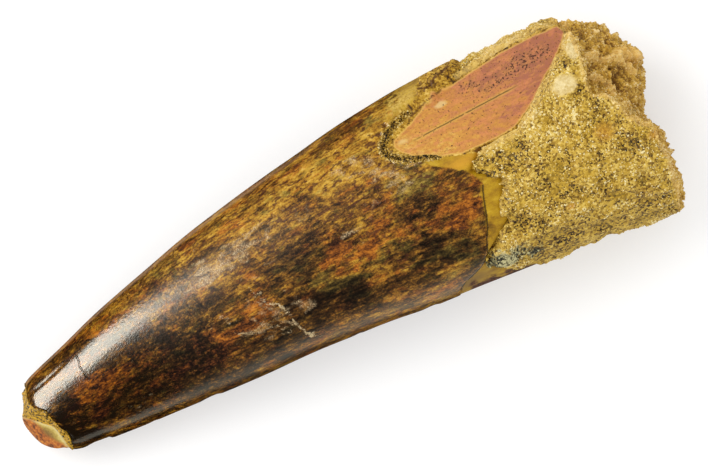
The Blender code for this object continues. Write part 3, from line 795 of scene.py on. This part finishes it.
class Paint:
    """Builds the nodes of one material. Lengths in it are in millimetres."""

    def __init__(self, name, ragged, strength):
        """ragged is the size, detail, roughness and seed of the noise on ragged edges."""
        self.material = bpy.data.materials.new(name)
        self.material.use_nodes = True
        self.tree = self.material.node_tree
        self.shader = self.tree.nodes["Principled BSDF"]
        metres = self.node("TexCoord", {}, "Object")
        self.place = self.node("VectorMath", {0: metres, "Scale": 1 / MM}, operation="SCALE")
        self.ragged = self.centred(self.noise(*ragged), strength)

    def node(self, kind, inputs, output=0, **settings):
        made = self.tree.nodes.new("ShaderNode" + kind)
        for key, value in settings.items():
            setattr(made, key, value)
        for key, value in inputs.items():
            self.feed(made.inputs[key], value)
        return made.outputs[output]

    def feed(self, socket, value):
        if isinstance(value, bpy.types.NodeSocket):
            self.tree.links.new(value, socket)
        else:
            socket.default_value = value

    def field(self, name, output="Fac"):
        return self.node("Attribute", {}, output, attribute_name=name)

    def maths(self, operation, a, b=0):
        return self.node("Math", {0: a, 1: b}, operation=operation)

    def add(self, a, b):
        return self.maths("ADD", a, b)

    def times(self, a, b):
        return self.maths("MULTIPLY", a, b)

    def centred(self, pattern, strength):
        """A pattern of 0 to 1, moved to lie on both sides of 0 and scaled to this strength."""
        return self.times(self.add(pattern, -0.5), strength)

    def step(self, value, start, end):
        """Rises smoothly from 0 at start to 1 at end, or falls if end is the lower one."""
        inputs = {"Value": value, "From Min": start, "From Max": end}
        return self.node("MapRange", inputs, interpolation_type="SMOOTHSTEP")

    def mix(self, share, a, b):
        return self.node("Mix", {0: share, 6: a, 7: b}, 2, data_type="RGBA")

    def tint(self, shade, share, strength, *rgb):
        """Lays a colour over a shade by a share of 0 to 1, at this strength."""
        return self.mix(self.times(share, strength), shade, colour(*rgb))

    def ramp(self, value, *stops):
        """Colours along a value, each stop (place, red, green, blue)."""
        made = self.tree.nodes.new("ShaderNodeValToRGB")
        self.feed(made.inputs[0], value)
        elements = made.color_ramp.elements
        while len(elements) < len(stops):
            elements.new(0.5)
        for element, (place, *rgb) in zip(elements, stops):
            element.position = place
            element.color = colour(*rgb)
        return made.outputs[0]

    def noise(self, size, detail, roughness, seed, vector=None, warp=0):
        """Noise of 0 to 1 whose spots are about this size."""
        shift = (seed, seed * 0.7, -seed)
        moved = self.node("VectorMath", {0: vector or self.place, 1: shift}, operation="ADD")
        inputs = {"Vector": moved, "Scale": 1 / size, "Detail": detail, "Roughness": roughness}
        return self.node("TexNoise", inputs | {"Distortion": warp})

    def torn(self, name, strength):
        """A field whose edges are made ragged."""
        return self.add(self.field(name), self.times(self.ragged, strength))

    def cells(self, size, output):
        return self.node("TexVoronoi", {"Vector": self.place, "Scale": 1 / size}, output)

    def finish(self, base, roughness, height):
        """Sets the colour, the roughness and a height in millimetres that the bump follows."""
        self.feed(self.shader.inputs["Base Color"], base)
        self.feed(self.shader.inputs["Roughness"], roughness)
        bump = self.node("Bump", {"Height": height, "Distance": MM, "Strength": 1})
        self.feed(self.shader.inputs["Normal"], bump)
        return self.material


class ToothPaint(Paint):
    """Holds the places and patterns that all the tooth's colours share."""

    def __init__(self, name):
        super().__init__(name, (0.7, 3, 0.65, 31), 0.8)
        self.lengthwise = self.field("lengthwise", "Vector")
        self.along, self.across = (self.node("SeparateXYZ", {0: self.place}, axis) for axis in "XY")
        self.fine = self.noise(0.2, 3, 0.65, 23)
        self.grit = self.noise(0.26, 2, 0.7, 29)

    def streaks(self, size, detail, roughness, seed, warp=0):
        """Noise drawn out along the tooth."""
        return self.noise(size, detail, roughness, seed, self.lengthwise, warp)


def crown_colour(p):
    """The enamel: dark brown to golden ochre, in blotches and specks drawn out along the tooth."""
    drawn_out = p.node("VectorMath", {0: p.lengthwise, 1: (0.35, 1, 1)}, operation="MULTIPLY")
    patterns = (
        (p.streaks(2.6, 3, 0.6, 3, 0.5), 0.6),
        (p.streaks(0.9, 4, 0.65, 7, 0.8), 1),
        (p.streaks(0.45, 3, 0.7, 11, 0.6), 1),
        (p.noise(0.3, 3, 0.6, 79, drawn_out), 0.5),
        (p.fine, 0.7),
    )
    tone = p.add(p.times(p.field("tone"), 0.38), 0.455)
    for pattern, strength in patterns:
        tone = p.add(tone, p.centred(pattern, strength))
    ochre = p.ramp(
        tone, (0, 24, 14, 5), (0.2, 48, 28, 7), (0.36, 78, 49, 10), (0.5, 118, 77, 16), (0.66, 160, 114, 25),
        (0.84, 190, 146, 42), (1, 204, 166, 78))
    orange = p.ramp(
        tone, (0, 28, 12, 7), (0.2, 60, 28, 9), (0.4, 110, 58, 10), (0.6, 158, 90, 14), (0.8, 188, 116, 26),
        (1, 206, 148, 56))
    olive = p.ramp(
        tone, (0, 22, 17, 7), (0.25, 52, 40, 12), (0.45, 88, 68, 20), (0.65, 124, 98, 30),
        (0.85, 152, 126, 48), (1, 172, 148, 74))
    warmth = p.add(p.times(p.field("warm"), 1.2), p.centred(p.streaks(1.6, 3, 0.6, 19), 2.8))
    warmth = p.add(warmth, p.centred(p.streaks(0.5, 3, 0.6, 89), 1.8))
    shade = p.mix(p.step(warmth, 0, 0.8), ochre, orange)
    shade = p.mix(p.step(warmth, -0.1, -0.8), shade, olive)
    plum = p.step(p.streaks(0.42, 2, 0.55, 71, 0.5), 0.56, 0.63)
    light_zone = p.times(p.step(p.field("tone"), -0.3, 0.2), 0.8)
    return p.tint(shade, plum, light_zone, 76, 38, 22)


def dusted_and_sheened(p, shade, scratch):
    """Pale dusty places, partly a painted sheen, scratches, and the worn edge along the crown, partly a
    painted highlight.
    """
    # Along the crown's upper side these pale patches are a painted sheen; elsewhere they are dust.
    dust_and_sheen = p.add(p.times(p.field("dust_and_sheen_spots"), 1.25), p.centred(p.noise(0.9, 4, 0.7, 37, warp=0.8), 2.2))
    grains = p.add(p.step(p.noise(0.14, 3, 0.75, 81), 0.42, 0.68), 0.14)
    shade = p.tint(shade, p.step(dust_and_sheen, 0.3, 1.1), grains, 202, 174, 128)
    shade = p.tint(shade, scratch, 0.8, 206, 180, 132)
    # The pale line along the crown's upper edge is worn enamel with a painted highlight on it.
    return p.tint(shade, p.field("carina_wear_and_sheen"), p.grit, 176, 138, 104)


def cement_colour(p, neck):
    """The cement at the crown's base: mustard, with brown blotches by the crack."""
    pattern = p.add(p.streaks(0.8, 4, 0.6, 41), p.times(p.field("tone"), 0.1))
    cement = p.ramp(pattern, (0.3, 112, 78, 2), (0.45, 156, 116, 4), (0.6, 176, 138, 14), (0.8, 194, 160, 46))
    near_crack = p.times(p.step(neck, 1.8, 0.3), p.step(p.noise(0.4, 3, 0.7, 95), 0.54, 0.64))
    cement = p.tint(cement, near_crack, 0.5, 112, 62, 10)
    cement = p.mix(p.field("tan"), cement, colour(130, 100, 44))
    cement = p.mix(p.field("wedge"), cement, colour(206, 150, 36))
    return p.tint(cement, p.field("upper_neck"), p.step(p.fine, 0.3, 0.6), 204, 172, 84)


def worn_tip_colour(p, shade):
    """The worn tip: a golden band with dark specks, a pale face and an orange lip."""
    worn, face, lip = (p.torn(key, 0.35) for key in ("worn", "worn_face", "worn_lip"))
    band = p.ramp(p.grit, (0.4, 28, 20, 0), (0.47, 152, 114, 0), (0.7, 210, 160, 8))
    depth = p.add(face, p.centred(p.fine, 0.8))
    pale = p.ramp(depth, (0.1, 200, 178, 96), (0.45, 162, 134, 52), (0.9, 120, 88, 28))
    patchy = p.noise(0.5, 3, 0.65, 43)
    orange = p.ramp(patchy, (0.35, 104, 54, 10), (0.5, 172, 90, 14), (0.65, 200, 128, 34))
    shade = p.mix(p.step(worn, 0, 0.1), shade, band)
    shade = p.mix(p.step(face, 0, 0.12), shade, pale)
    edge = p.times(p.step(p.maths("ABSOLUTE", face), 0.16, 0.04), p.step(worn, 0.1, 0.2))
    shade = p.tint(shade, edge, 0.7, 214, 198, 136)
    return p.mix(p.step(lip, -0.3, 0.3), shade, orange)


def rim_colour(p, shade, rim):
    """The broken rim round the break: rough and yellow, with dark specks at its narrow end."""
    pattern = p.add(p.times(p.grit, 0.5), p.times(p.streaks(0.35, 3, 0.6, 77), 0.5))
    rough = p.ramp(
        pattern, (0.38, 66, 40, 6), (0.46, 138, 98, 16), (0.54, 186, 144, 40), (0.64, 216, 184, 96))
    in_rough = p.step(p.torn("rough_neck", 1), -0.1, 0.3)
    shade = p.mix(p.maths("MAXIMUM", p.step(rim, 0, 0.15), in_rough), shade, rough)
    pattern = p.add(p.noise(0.2, 3, 0.75, 83), p.times(p.field("dark_rim"), 0.25))
    specks = p.ramp(
        pattern, (0.4, 16, 11, 4), (0.51, 62, 44, 8), (0.58, 144, 106, 20), (0.66, 190, 154, 50),
        (0.75, 226, 214, 170))
    in_dark = p.step(p.torn("dark_rim", 0.5), 0.52, 0.4)
    return p.mix(in_dark, shade, specks)


def dentine_colour(p, facet):
    """The bare dentine in the break: cream at its narrow end and pink to rose at the wide one."""
    streak = p.add(p.centred(p.streaks(0.45, 4, 0.65, 47, 0.4), 1.6), p.times(p.fine, 0.3))
    rosiness = p.add(p.add(p.step(p.along, 6, 34), streak), p.times(p.add(p.across, -6.5), 0.04))
    rosiness = p.add(p.add(rosiness, p.field("rose")), p.centred(p.noise(1.6, 3, 0.6, 85), 0.7))
    dentine = p.ramp(
        rosiness, (0, 208, 166, 78), (0.2, 200, 146, 60), (0.42, 192, 132, 56), (0.62, 187, 124, 62),
        (0.82, 182, 117, 70), (1, 160, 96, 70))
    pink = p.step(p.streaks(0.8, 4, 0.65, 91, 0.5), 0.48, 0.62)
    dentine = p.tint(dentine, pink, 0.55, 200, 124, 78)
    dentine = p.tint(dentine, p.step(p.noise(0.3, 4, 0.7, 97), 0.46, 0.6), 0.42, 160, 104, 44)
    brown = p.times(p.step(p.noise(0.4, 3, 0.65, 93), 0.45, 0.62), p.step(p.field("dots"), 0.1, 0.8))
    dentine = p.tint(dentine, brown, 0.6, 138, 92, 58)
    # The tooth's axis: a pale band with a dark line in it.
    off_axis = p.maths("ABSOLUTE", p.add(p.add(p.across, -6.66), p.times(p.ragged, 0.12)))
    axis = p.times(p.step(off_axis, 0.3, 0.08), p.times(p.step(p.along, 11, 13), p.step(p.along, 24, 22)))
    dentine = p.tint(dentine, axis, 0.45, 204, 164, 72)
    core = p.times(p.step(off_axis, 0.1, 0.03), p.step(p.noise(0.6, 2, 0.5, 53), 0.28, 0.4))
    dentine = p.tint(dentine, p.times(axis, core), 0.8, 88, 66, 18)
    # Pits, pale spots, dark dots and the cream edge.
    dentine = p.tint(dentine, p.step(p.grit, 0.38, 0.3), 0.65, 120, 66, 34)
    pale = p.step(p.add(p.field("pale"), p.times(streak, 0.8)), 0.5, 1.1)
    dentine = p.tint(dentine, pale, 0.7, 212, 184, 122)
    dots = p.add(p.times(p.field("dots"), 0.14), p.noise(0.24, 1, 0.5, 59))
    dentine = p.tint(dentine, p.step(dots, 0.69, 0.75), 0.85, 64, 34, 22)
    return p.tint(dentine, p.step(facet, 0.22, 0.04), 0.6, 214, 174, 88)


def tooth_material():
    p = ToothPaint("tooth")
    scratch = p.times(p.field("scar"), p.add(p.times(p.noise(0.3, 3, 0.75, 73, warp=1), 2.6), -0.5))
    scratch = p.step(scratch, 0.36, 0.85)
    shade = dusted_and_sheened(p, crown_colour(p), scratch)
    neck = p.add(p.field("neck"), p.add(p.ragged, p.centred(p.streaks(0.5, 4, 0.6, 75), 0.8)))
    shade = p.mix(p.step(neck, -0.05, 0.25), shade, cement_colour(p, neck))
    low = p.step(p.torn("low_strip", 1), 0.7, 0.3)
    shade = p.mix(low, shade, p.ramp(p.grit, (0.4, 52, 26, 14), (0.6, 112, 62, 34)))
    shade = worn_tip_colour(p, shade)
    rim = p.torn("rim", 0.5)
    shade = rim_colour(p, shade, rim)
    facet = p.torn("facet", 0.35)
    shade = p.mix(p.step(facet, -0.05, 0.1), shade, dentine_colour(p, facet))
    crack = p.step(p.maths("ABSOLUTE", p.torn("crack", 0.3)), 0.12, 0.03)
    shade = p.tint(shade, crack, 0.75, 34, 24, 12)
    crevice = p.step(p.torn("crevice", 0.6), 0.55, 0.85)
    shade = p.tint(shade, crevice, 0.8, 92, 52, 4)

    # The enamel is glossy, most of all at the tip, and bare places are rough.
    bare = p.maths("MAXIMUM", p.step(rim, 0, 0.2), p.step(neck, 0, 0.4))
    bare = p.maths("MAXIMUM", p.step(p.field("worn"), 0, 0.2), bare)
    roughness = p.add(p.times(p.step(p.along, -26, -16), 0.16), p.add(p.centred(p.fine, 0.08), 0.19))
    roughness = p.node("Mix", {0: bare, 2: roughness, 3: 0.7}, 0, data_type="FLOAT")
    height = p.times(p.noise(0.24, 1, 0.5, 61, warp=0.4), 0.013)
    height = p.add(height, p.times(p.streaks(0.6, 1, 0.5, 67), 0.01))
    height = p.add(height, p.times(p.add(scratch, p.times(crack, 3)), -0.025))
    height = p.add(height, p.times(p.times(bare, p.grit), 0.03))
    set_inputs(p.shader, IOR=ENAMEL_IOR)
    return p.finish(shade, roughness, height)


def stone_material(name, grain_field=None):
    """Ochre sandstone of pale, golden and dark grains. The grains themselves take their tone from a field."""
    p = Paint(name, (0.6, 3, 0.6, 13), 1)
    random = p.node("SeparateColor", {0: p.cells(0.2, "Color")}, "Red")
    small = p.noise(0.5, 3, 0.65, 3)
    tone = p.field(grain_field) if grain_field else p.times(random, 0.7)
    tone = p.add(p.add(tone, 0.1), p.centred(p.noise(2.5, 3, 0.6, 5), 0.6))
    tone = p.add(tone, p.centred(small, 0.4))
    # Crests are painted lighter and low places darker, as painted light and shade that follow the relief; the
    # cream and brown patches are the stone's own colour.
    for key, strength in (("crest", 0.5), ("cream", 0.3), ("brown", -0.35)):
        tone = p.add(tone, p.times(p.field(key), strength))
    sand = p.ramp(
        tone, (0, 44, 30, 4), (0.18, 92, 64, 10), (0.33, 148, 112, 24), (0.5, 180, 144, 46),
        (0.7, 200, 166, 66), (0.88, 218, 190, 102), (1, 228, 212, 158))
    sand = p.tint(sand, p.step(p.noise(1.8, 3, 0.6, 87), 0.5, 0.62), 0.4, 196, 158, 40)
    sand = p.tint(sand, p.step(p.field("gold"), 0.2, 1), 0.6, 190, 134, 34)
    grey = p.ramp(tone, (0.32, 40, 38, 24), (0.54, 112, 104, 66), (0.8, 182, 174, 126))
    sand = p.mix(p.step(p.add(p.field("grey"), p.centred(small, 1.5)), 0.3, 0.7), sand, grey)
    # Cream patches and the cream lip round the break.
    cream = p.step(p.torn("cream", 0.9), 0.6, 1.1)
    pale = p.ramp(small, (0.35, 192, 166, 106), (0.65, 224, 204, 152))
    sand = p.mix(p.times(cream, 0.75), sand, pale)
    lip = p.step(p.torn("opening", 1.6), -1.2, -0.3)
    sand = p.tint(sand, lip, 0.55, 214, 178, 98)
    # The broken end: browner, with painted shade in its hollows and pale ridges that are partly a painted
    # highlight.
    sand = p.tint(sand, p.field("at_end"), 0.3, 210, 154, 62)
    painted_hollow_shade = p.step(p.torn("crest", 0.4), -0.02, -0.3)
    sand = p.tint(sand, p.times(painted_hollow_shade, p.field("at_end")), 0.7, 126, 82, 14)
    # A painted highlight along the end's ridges, over their pale stone.
    ridge = p.step(p.torn("ridge", 0.4), 0.13, 0.28)
    sand = p.tint(sand, ridge, 0.5, 224, 186, 108)
    height = p.add(p.times(p.cells(0.2, "Distance"), -0.04), p.times(p.noise(0.12, 2, 0.6, 23), 0.03))
    return p.finish(sand, p.add(p.times(random, 0.2), 0.7), height)


def add_floor():
    reach = FLOOR_REACH
    mesh = bpy.data.meshes.new("floor")
    corners = [(-reach, -reach, 0), (reach, -reach, 0), (reach, reach, 0), (-reach, reach, 0)]
    mesh.from_pydata(corners, [], [(0, 1, 2, 3)])
    floor = add_object("floor", mesh)
    material = bpy.data.materials.new("floor")
    material.use_nodes = True
    set_inputs(
        material.node_tree.nodes["Principled BSDF"], Base_Color=(FLOOR_GREY, FLOOR_GREY, FLOOR_GREY, 1),
        Emission_Color=(1, 1, 1, 1), Emission_Strength=FLOOR_GLOW, Roughness=0.9, Specular_IOR_Level=0)
    mesh.materials.append(material)
    floor.visible_glossy = False


def add_camera():
    """Looks straight down on the tooth, which crosses the picture from lower left to upper right."""
    data = bpy.data.cameras.new("camera")
    data.lens, data.sensor_width = LENS, SENSOR
    camera = add_object("camera", data)
    distance = PHOTO_WIDTH * LENS / SENSOR
    camera.location = (CAMERA_AIM[0] * MM, CAMERA_AIM[1] * MM, (CAMERA_AIM[2] + distance) * MM)
    camera.rotation_euler = (0, 0, CAMERA_ROLL)
    bpy.context.scene.camera = camera


def add_light(name, place, facing, size, radiance, tint, only):
    """A soft box of this width and height. only keeps it to "diffuse" or "glossy" light."""
    data = bpy.data.lights.new(name, "AREA")
    data.shape = "RECTANGLE"
    data.size, data.size_y = (side * MM for side in size)
    data.color = tint
    data.energy = radiance * math.pi * data.size * data.size_y
    lamp = add_object(name, data)
    back = -Vector(facing).normalized()
    across = Vector((0, 0, 1)).cross(back).normalized()
    lamp.location = Vector(place) * MM
    lamp.rotation_euler = Matrix((across, back.cross(across), back)).transposed().to_euler()
    lamp.visible_camera = False
    lamp.visible_glossy = only != "diffuse"
    lamp.visible_diffuse = only != "glossy"


def add_world():
    """Even white light from all round, which is not seen in reflections."""
    world = bpy.data.worlds.new("world")
    world.use_nodes = True
    set_inputs(world.node_tree.nodes["Background"], Color=(1, 1, 1, 1), Strength=WORLD_STRENGTH)
    world.cycles_visibility.glossy = False
    bpy.context.scene.world = world


def pebble_shape(steps):
    """The corners and faces of a ball made of triangles."""
    shape = bmesh.new()
    bmesh.ops.create_icosphere(shape, subdivisions=steps, radius=1)
    corners = np.array([v.co for v in shape.verts])
    faces = np.array([[v.index for v in f.verts] for f in shape.faces])
    shape.free()
    return corners, faces


def scattered(points, fields, shown, count, rng):
    """Random places on the shown part of a grid's surface, with their directions out and their fields."""
    right, shown_right = np.roll(points, -1, 1), np.roll(shown, -1, 1)
    quads = np.stack([points[:-1], right[:-1], right[1:], points[1:]], 2)
    across = np.cross(quads[:, :, 2] - quads[:, :, 0], quads[:, :, 3] - quads[:, :, 1])
    area = np.linalg.norm(across, axis=-1) / 2
    area = area * (shown[:-1] & shown[1:] & shown_right[:-1] & shown_right[1:])
    chance = area.ravel() / area.sum()
    picked = rng.choice(chance.size, count, p=chance)
    row, column = np.divmod(picked, points.shape[1])
    u, v = rng.random((2, count, 1))
    a, b, c, d = np.moveaxis(quads[row, column], 1, 0)
    places = (a * (1 - u) + b * u) * (1 - v) + (d * (1 - u) + c * u) * v
    return places, outward(points)[row, column], {key: values[row, column] for key, values in fields.items()}


def turns(count, rng):
    """Random turns, as 3 by 3 tables."""
    q = rng.normal(size=(count, 4))
    w, x, y, z = (q / np.linalg.norm(q, axis=1, keepdims=True)).T
    return np.stack([
        1 - 2 * (y * y + z * z), 2 * (x * y - z * w), 2 * (x * z + y * w),
        2 * (x * y + z * w), 1 - 2 * (x * x + z * z), 2 * (y * z - x * w),
        2 * (x * z - y * w), 2 * (y * z + x * w), 1 - 2 * (x * x + y * y),
    ], -1).reshape(-1, 3, 3)


def lay_out_grains(mesh, count):
    """A map with a small cell for each grain, which all its faces share."""
    side = math.ceil(math.sqrt(count))
    faces_each = len(mesh.polygons) // count
    grain = np.repeat(np.arange(count), faces_each * 3)
    cell = np.stack([grain % side, grain // side], -1)
    corner = np.tile([(0.2, 0.2), (0.8, 0.2), (0.2, 0.8)], (count * faces_each, 1))
    set_map(mesh, (cell + corner) / side)


def sand_grains(name, surface, count, sizes, steps, sunk, seed):
    """Grains of sand that stand half out of the stone, joined in one mesh."""
    rng = np.random.default_rng(seed)
    places, normals, found = scattered(*surface, count, rng)
    corners, faces = pebble_shape(steps)
    radius = rng.uniform(*sizes, count) / 2
    squash = rng.uniform(0.6, 1.1, (count, 3)) * radius[:, None]
    jitter = rng.uniform(0.8, 1.15, (count, len(corners), 1))
    local = corners[None] * jitter * squash[:, None]
    shaped = np.einsum("nij,nkj->nki", turns(count, rng), local)
    shaped = shaped + (places - normals * (radius * rng.uniform(*sunk, count))[:, None])[:, None]
    low, high = solid_box()
    shaped = shaped - np.maximum(shaped.max(1, keepdims=True) - high, 0)
    shaped = shaped + np.maximum(low - shaped.min(1, keepdims=True), 0)
    indices = (faces[None] + (np.arange(count) * len(corners))[:, None, None]).reshape(-1, 3)
    mesh = bpy.data.meshes.new(name)
    mesh.from_pydata((shaped.reshape(-1, 3) * MM).tolist(), [], indices.tolist())
    found["grain"] = rng.random(count)
    for key, values in found.items():
        each = np.repeat(values, len(corners)).astype(np.float32)
        mesh.attributes.new(key, "FLOAT", "POINT").data.foreach_set("value", each)
    lay_out_grains(mesh, count)
    return add_object(name, mesh)


def dress(piece, material, node):
    """Gives a piece its material and lets it stand for a node of the model."""
    piece.data.materials.append(material)
    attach(piece, "root")
    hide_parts(node)


dress(grid_mesh("tooth_surface", *tooth_surface()), tooth_material(), "tooth")
stone = stone_surface()
dress(grid_mesh("matrix_surface", *stone[:2]), stone_material("sandstone"), "sandstone_matrix")
grain_paint = stone_material("sand_grains", "grain")
for grain_name, *how in GRAINS:
    dress(sand_grains(grain_name, stone, *how), grain_paint, "sandstone_matrix")
add_floor()
add_camera()
for light in LIGHTS:
    add_light(*light)
add_world()
bpy.context.scene.view_settings.view_transform = "Standard"
